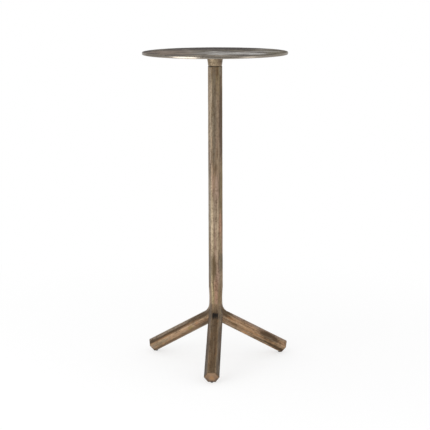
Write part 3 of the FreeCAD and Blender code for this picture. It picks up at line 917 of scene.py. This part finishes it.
# Soot in the hollows, which also paints the shade in the joint under the collar
SOOT_AND_SHADE_RAGGED = (0, 0.4)
SOOT_AND_SHADE = (0.35, 0.95)
SOOT_AND_SHADE_SMEARED = (0.25, 0.5, 0.6, 1)
SOOT_AND_SHADE_RUBBED = (0.2, 0.8, 1, 0.3)
BRONZE_METALLIC = (0, 1, 0.9, 0.5)
BRONZE_ROUGH = (0.3, 0.7, 0.36, 0.5)

# Their weights
GRIT_LINES = 1.2
LINED_SHARE = 0.45
WORN_SHARE = 0.25
CUT_SHARE = 0.7
ROLLED_SHARE = 0.65
SOOT_AND_SHADE_STROKES = 1.1
SOOT_AND_SHADE_GRIT = 0.9
LINED_ROUGH = 0.06
EDGE_ROUGH = 0.14
BRUSHING_RELIEF = 0.5
GRIT_RELIEF = 0.8


def antiqued_bronze():
    """Bronze patina in long streaks, rubbed light on the corners and left black in the hollows, with
    painted highlights and shade in its patches, in the joint under the collar and round the legs' end
    faces.
    """
    finish = Finish("antiqued_bronze")
    grain = finish.mark("grain", "Vector")
    edge = finish.mark("edge")
    hollow = finish.mark("hollow")
    cut = finish.mark("cut")
    height = finish.node("SeparateXYZ", {0: grain}, "Z")
    on_leg = finish.steps(height, *ON_LEG)

    streaks = finish.noise(grain, waves=(230, 230, 8), detail=4, roughness=0.6)
    strokes = finish.noise(grain, waves=(300, 300, 24), detail=4, roughness=0.6, shift=4.7)
    brushing = finish.noise(grain, waves=(1300, 1300, 40), detail=3, roughness=0.6)
    smears = finish.noise(grain, waves=(70, 70, 17), detail=5, roughness=0.62, shift=3.1)
    grit = finish.noise(grain, waves=(330, 330, 240), detail=5, roughness=0.72)
    specks = finish.noise(grain, waves=(210, 210, 150), detail=3, roughness=0.6, shift=9.1)
    hue = finish.noise(grain, waves=(80, 80, 9), detail=3, roughness=0.55, shift=7.7)
    warmth = finish.noise(grain, waves=(90, 90, 12), detail=4, roughness=0.6, shift=11.3)

    dark = finish.steps(streaks, *DARK_STREAKS)
    dark = finish.sum(dark, finish.steps(smears, *DARK_SMEARS))
    colour = finish.mix(dark, BRONZE, BRONZE_DARK)
    colour = finish.mix(finish.steps(hue, *ROSE_HUE), colour, BRONZE_ROSE)
    colour = finish.mix(finish.steps(hue, *OLIVE_HUE), colour, BRONZE_OLIVE)
    orange = finish.times(finish.steps(warmth, *ORANGE_WARMTH), finish.steps(on_leg, *ORANGE_ON_LEG))
    colour = finish.mix(orange, colour, BRONZE_ORANGE)
    colour = finish.mix(finish.mark("patch", "Alpha"), colour, finish.mark("patch", "Color"))
    gritty = finish.times(finish.steps(grit, *DARK_LINES), GRIT_LINES)
    lined = finish.sum(finish.steps(strokes, *DARK_LINES), gritty)
    colour = finish.mix(finish.times(lined, LINED_SHARE), colour, BRONZE_DARK)
    colour = finish.mix(finish.steps(specks, *DARK_SPECKS), colour, BRONZE_DARK)
    colour = finish.mix(finish.steps(strokes, *LIGHT_STROKES), colour, BRONZE_LIGHT)
    worn = finish.times(finish.steps(edge, *WORN_EDGE), finish.steps(strokes, *WORN_STROKES))
    colour = finish.mix(finish.times(worn, WORN_SHARE), colour, BRONZE_LIGHT)
    colour = finish.mix(finish.times(cut, CUT_SHARE), colour, BRONZE_CUT)
    # Painted shade on the rounded border of each leg's end face
    rolled_shade = finish.times(finish.steps(cut, *ROLLED_START), finish.steps(cut, *ROLLED_STOP))
    colour = finish.mix(finish.times(rolled_shade, ROLLED_SHARE), colour, BRONZE_DARK)
    lip = finish.mark("lip")
    # A lighter middle on each end face, and painted shade along its lower border
    colour = finish.mix(finish.steps(lip, *FACE_CORE), colour, BRONZE_CORE)
    colour = finish.mix(finish.steps(lip, *FACE_LIP), colour, BRONZE_LIP_SHADE)
    # Black soot in the hollows, darker at the side legs' lowest corners, and painted shade in the joint
    # under the collar
    ragged = finish.sum(finish.swing(strokes, SOOT_AND_SHADE_STROKES), finish.swing(grit, SOOT_AND_SHADE_GRIT))
    ragged = finish.times(ragged, finish.steps(hollow, *SOOT_AND_SHADE_RAGGED))
    soot_and_painted_shade = finish.steps(finish.sum(hollow, ragged), *SOOT_AND_SHADE)
    soot_and_painted_shade = finish.times(soot_and_painted_shade, finish.steps(smears, *SOOT_AND_SHADE_SMEARED))
    soot_and_painted_shade = finish.times(soot_and_painted_shade, finish.steps(edge, *SOOT_AND_SHADE_RUBBED))
    colour = finish.mix(soot_and_painted_shade, colour, BRONZE_BLACK)

    rough = finish.sum(finish.steps(brushing, *BRONZE_ROUGH), finish.times(lined, LINED_ROUGH))
    rough = finish.sum(rough, finish.times(edge, EDGE_ROUGH))
    relief = finish.sum(finish.times(brushing, BRUSHING_RELIEF), finish.times(grit, GRIT_RELIEF))
    finish.set(
        Base_Color=colour,
        Metallic=finish.steps(soot_and_painted_shade, *BRONZE_METALLIC),
        Roughness=rough,
        Normal=finish.bump(relief, depth=0.12 * MM, strength=0.6),
    )
    return finish.material


# The disc's layers, in the same way
DISC_TONE = (0.36, 0.64)
DISC_BROWN = (0.45, 0.65, 0, 0.4)
DISC_OLIVE = (0.52, 0.36, 0, 0.35)
DARK_BLOTS = (0.52, 0.34, 0, 0.35)
DARK_CLOUDS = (0.52, 0.38, 0, 0.55)
RUBBED = (-0.05, 1.4)
RUBBED_STREAKS = (0.6, 0.38, 0, 0.6)
RIM_EDGE = (0.3, 0.9)
DISC_METALLIC = (0, 1, 0.1, 1)
DISC_ROUGH = (0, 1, 0.72, 0.24)
DISC_BRUSHED = (0.3, 0.7, -0.06, 0.06)

# Their weights
CLOUD_WEIGHT = 0.6
BLOT_WEIGHT = 0.4
RUBBED_CLOUDS = 1.6
RUBBED_STROKES = 1.3
RUBBED_BLOTS = 1.2
RIM_SHARE = 0.8
RIM_POLISH = -0.03
DISC_BRUSHING_RELIEF = 0.4


def dark_silver():
    """Dark cast metal in cloudy patches, rubbed to a dull silver and brown towards the rim."""
    finish = Finish("dark_silver")
    place = finish.mark("grain", "Vector")
    edge = finish.mark("edge")
    clouds = finish.noise(place, waves=(26, 17, 20), detail=3, roughness=0.5)
    blots = finish.noise(place, waves=(60, 110, 80), detail=4, roughness=0.6, shift=2.3)
    strokes = finish.noise(place, waves=(50, 250, 250), detail=4, roughness=0.62, shift=8.1)
    brushing = finish.noise(place, waves=(90, 1200, 1200), detail=3, roughness=0.6)
    grit = finish.noise(place, waves=(600, 600, 600), detail=4, roughness=0.7)
    hue = finish.noise(place, waves=(14, 14, 14), detail=3, shift=5.9)

    tone = finish.sum(finish.times(clouds, CLOUD_WEIGHT), finish.times(blots, BLOT_WEIGHT))
    colour = finish.mix(finish.steps(tone, *DISC_TONE), SILVER_DARK, SILVER)
    colour = finish.mix(finish.steps(hue, *DISC_BROWN), colour, SILVER_BROWN)
    colour = finish.mix(finish.steps(hue, *DISC_OLIVE), colour, SILVER_OLIVE)
    colour = finish.mix(finish.mark("patch", "Alpha"), colour, finish.mark("patch", "Color"))
    colour = finish.mix(finish.steps(blots, *DARK_BLOTS), colour, SILVER_DARK)
    colour = finish.mix(finish.steps(clouds, *DARK_CLOUDS), colour, SILVER_DARK)
    rubbed = finish.sum(finish.mark("rubbed"), finish.swing(clouds, RUBBED_CLOUDS))
    rubbed = finish.sum(rubbed, finish.swing(strokes, RUBBED_STROKES))
    rubbed = finish.sum(rubbed, finish.swing(blots, RUBBED_BLOTS))
    rubbed = finish.steps(rubbed, *RUBBED)
    rim = finish.steps(edge, *RIM_EDGE)
    streaked = finish.mix(finish.steps(strokes, *RUBBED_STREAKS), SILVER_LIGHT, SILVER)
    colour = finish.mix(rubbed, colour, streaked)
    colour = finish.mix(finish.times(rim, RIM_SHARE), colour, SILVER_RIM)
    bright = finish.sum(rubbed, finish.times(rim, RIM_SHARE))
    rough = finish.sum(finish.steps(brushing, *DISC_BRUSHED), finish.steps(bright, *DISC_ROUGH))
    rough = finish.sum(rough, finish.times(rim, RIM_POLISH))
    relief = finish.sum(finish.times(brushing, DISC_BRUSHING_RELIEF), finish.times(grit, GRIT_RELIEF))
    finish.set(
        Base_Color=colour,
        Metallic=finish.steps(bright, *DISC_METALLIC),
        Roughness=rough,
        Specular_IOR_Level=0.15,
        Specular_Tint=SILVER_SHEEN,
        Normal=finish.bump(relief, depth=0.12 * MM, strength=0.5),
    )
    return finish.material


# The fixings and the glides, in the same way
ZINC_BLOTCHES = (0.35, 0.65)
ZINC_ROUGH = (0.3, 0.7, 0.28, 0.45)
RUBBER_DUSTY = (0.45, 0.7)
RUBBER_ROUGH = (0.3, 0.7, 0.65, 0.8)


def zinc_steel():
    """Dull plated steel, a little blotchy."""
    finish = Finish("zinc_steel")
    place = finish.node("TexCoord", output="Object")
    blotches = finish.noise(place, waves=(300, 300, 300), detail=4, roughness=0.6)
    scratches = finish.noise(place, waves=(2500, 2500, 300), detail=2)
    colour = finish.mix(finish.steps(blotches, *ZINC_BLOTCHES), ZINC_DULL, ZINC_BRIGHT)
    finish.set(
        Base_Color=colour,
        Metallic=1.0,
        Roughness=finish.steps(blotches, *ZINC_ROUGH),
        Normal=finish.bump(scratches, depth=0.02 * MM, strength=0.4),
    )
    return finish.material


def black_rubber():
    """Matt black rubber with a fine moulded grain."""
    finish = Finish("black_rubber")
    place = finish.node("TexCoord", output="Object")
    grain = finish.noise(place, waves=(2200, 2200, 2200), detail=3)
    dust = finish.noise(place, waves=(250, 250, 250), detail=4)
    finish.set(
        Base_Color=finish.mix(finish.steps(dust, *RUBBER_DUSTY), RUBBER, RUBBER_DUST),
        Roughness=finish.steps(grain, *RUBBER_ROUGH),
        Normal=finish.bump(grain, depth=0.05 * MM, strength=0.5),
    )
    return finish.material


# The stage

# The camera, as it was fitted to the photo's outline
PHOTO_WIDTH = 430
FOCAL_PIXELS = 1407.57
SENSOR_WIDTH = 36.0
CAMERA_DISTANCE = 2.8989
CAMERA_HEIGHT = 0.8431
CAMERA_PITCH = math.radians(10.308)
CAMERA_AZIMUTH = math.radians(3.15)
CAMERA_ROLL = math.radians(-0.18)
AIM_COLUMN = 215.55
AIM_ROW = 215.36

# The floor, and where the shadow on it fades
FLOOR_WIDTH = 8.0
SHADOW_NEAR = 0.35
SHADOW_FAR = 1.1
SHADOW_SHARE = 0.35

# Lamps: place, the point they face, width, height, watts
LAMP_AIM = (0, 0, 0.35)
SOFTBOXES = {
    "softbox_left": ((-1.34, -1.43, 0.6), LAMP_AIM, 1.3, 1.2, 16.5),
    "softbox_right": ((1.9, -1.3, 0.7), LAMP_AIM, 0.8, 1.2, 3),
}

# Walls of the studio: place, the point they face, width, height, glow
WALL_AIM = (0, 0, 1.4)
WALLS = {
    "wall_front": ((0, -3.5, 1.4), WALL_AIM, 6.0, 2.8, 0.3),
    "wall_left": ((-2.8, 0, 1.4), WALL_AIM, 6.0, 2.8, 0.45),
    "wall_right": ((2.8, 0, 1.4), WALL_AIM, 6.0, 2.8, 0.72),
    "ceiling": ((0, 0, 2.8), (0, 0, 0), 6.0, 7.0, 0.4),
}


def add_camera():
    """The camera that was fitted to the photo's outline."""
    data = bpy.data.cameras.new("camera")
    data.sensor_width = SENSOR_WIDTH
    data.lens = FOCAL_PIXELS * SENSOR_WIDTH / PHOTO_WIDTH
    data.shift_x = (PHOTO_WIDTH / 2 - AIM_COLUMN) / PHOTO_WIDTH
    data.shift_y = (AIM_ROW - PHOTO_WIDTH / 2) / PHOTO_WIDTH
    camera = add_object("camera", data)
    place = Vector((
        CAMERA_DISTANCE * math.sin(CAMERA_AZIMUTH),
        -CAMERA_DISTANCE * math.cos(CAMERA_AZIMUTH),
        CAMERA_HEIGHT,
    ))
    turn = Matrix.Rotation(CAMERA_AZIMUTH, 4, "Z")
    tilt = Matrix.Rotation(math.radians(90) - CAMERA_PITCH, 4, "X")
    roll = Matrix.Rotation(CAMERA_ROLL, 4, "Z")
    camera.matrix_world = Matrix.Translation(place) @ turn @ tilt @ roll
    bpy.context.scene.camera = camera


def facing(place, aim, axis):
    """The rotation that points an object's axis from place to aim."""
    return (Vector(aim) - Vector(place)).to_track_quat(axis, "Y").to_euler()


def add_softbox(name, place, aim, width, height, power):
    """A rectangular lamp."""
    data = bpy.data.lights.new(name, "AREA")
    data.shape = "RECTANGLE"
    data.size = width
    data.size_y = height
    data.energy = power
    lamp = add_object(name, data)
    lamp.location = place
    lamp.rotation_euler = facing(place, aim, "-Z")


def add_sheet(name, width):
    """A flat square, width across."""
    bm = bmesh.new()
    bmesh.ops.create_grid(bm, x_segments=1, y_segments=1, size=width / 2)
    return add_object(name, to_mesh(bm, name))


def add_wall(name, place, aim, width, height, glow):
    """A grey wall of the studio, which only shows in the metal's reflections."""
    wall = add_sheet(name, 1)
    wall.location = place
    wall.rotation_euler = facing(place, aim, "Z")
    wall.scale = (width, height, 1)
    wall.visible_camera = False
    wall.visible_shadow = False
    wall.visible_diffuse = False
    finish = Finish(name)
    finish.surface(finish.node("Emission", {"Color": WHITE, "Strength": glow}))
    wall.data.materials.append(finish.material)


def add_world():
    """A white surround."""
    world = bpy.data.worlds.new("world")
    bpy.context.scene.world = world
    world.use_nodes = True
    background = world.node_tree.nodes["Background"]
    background.inputs["Color"].default_value = WHITE
    background.inputs["Strength"].default_value = 1.0


def add_floor():
    """A pale floor that fades into the white surround, with the object's shadow near its feet."""
    floor = add_sheet("floor", FLOOR_WIDTH)
    finish = Finish("floor_white")
    place = finish.node("TexCoord", output="Object")
    distance = finish.node("VectorMath", {0: place}, "Value", operation="LENGTH")
    white = finish.steps(distance, SHADOW_NEAR, SHADOW_FAR, 1 - SHADOW_SHARE, 1.0)
    share = finish.times(white, finish.seen_directly())
    glow = finish.node("Emission", {"Color": WHITE, "Strength": 1.0})
    finish.set(Base_Color=FLOOR_WHITE, Roughness=1.0, Specular_IOR_Level=0.0)
    finish.surface(finish.node("MixShader", {0: share, 1: finish.shader.outputs[0], 2: glow}))
    floor.data.materials.append(finish.material)


# The whole scene

add_camera()
add_world()
add_floor()
for name, row in SOFTBOXES.items():
    add_softbox(name, *row)
for name, row in WALLS.items():
    add_wall(name, *row)
bpy.context.scene.view_settings.view_transform = "Standard"

bronze = antiqued_bronze()
add_piece("column_tube", "stand", column_mesh(), bronze)
add_piece("base_hub", "stand", hub_mesh(), bronze)
for leg, heading in HEADINGS.items():
    add_piece(leg, "stand", leg_mesh(leg, heading), bronze)
add_piece("top_collar", "top", collar_mesh(), bronze)
add_piece("top_disc", "top", disc_mesh(), dark_silver())

CAD_FINISHES = {"steel": zinc_steel(), "glide_plastic": black_rubber()}
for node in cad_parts.values():
    for slot in node.material_slots:
        if slot.material.name in CAD_FINISHES:
            slot.material = CAD_FINISHES[slot.material.name]
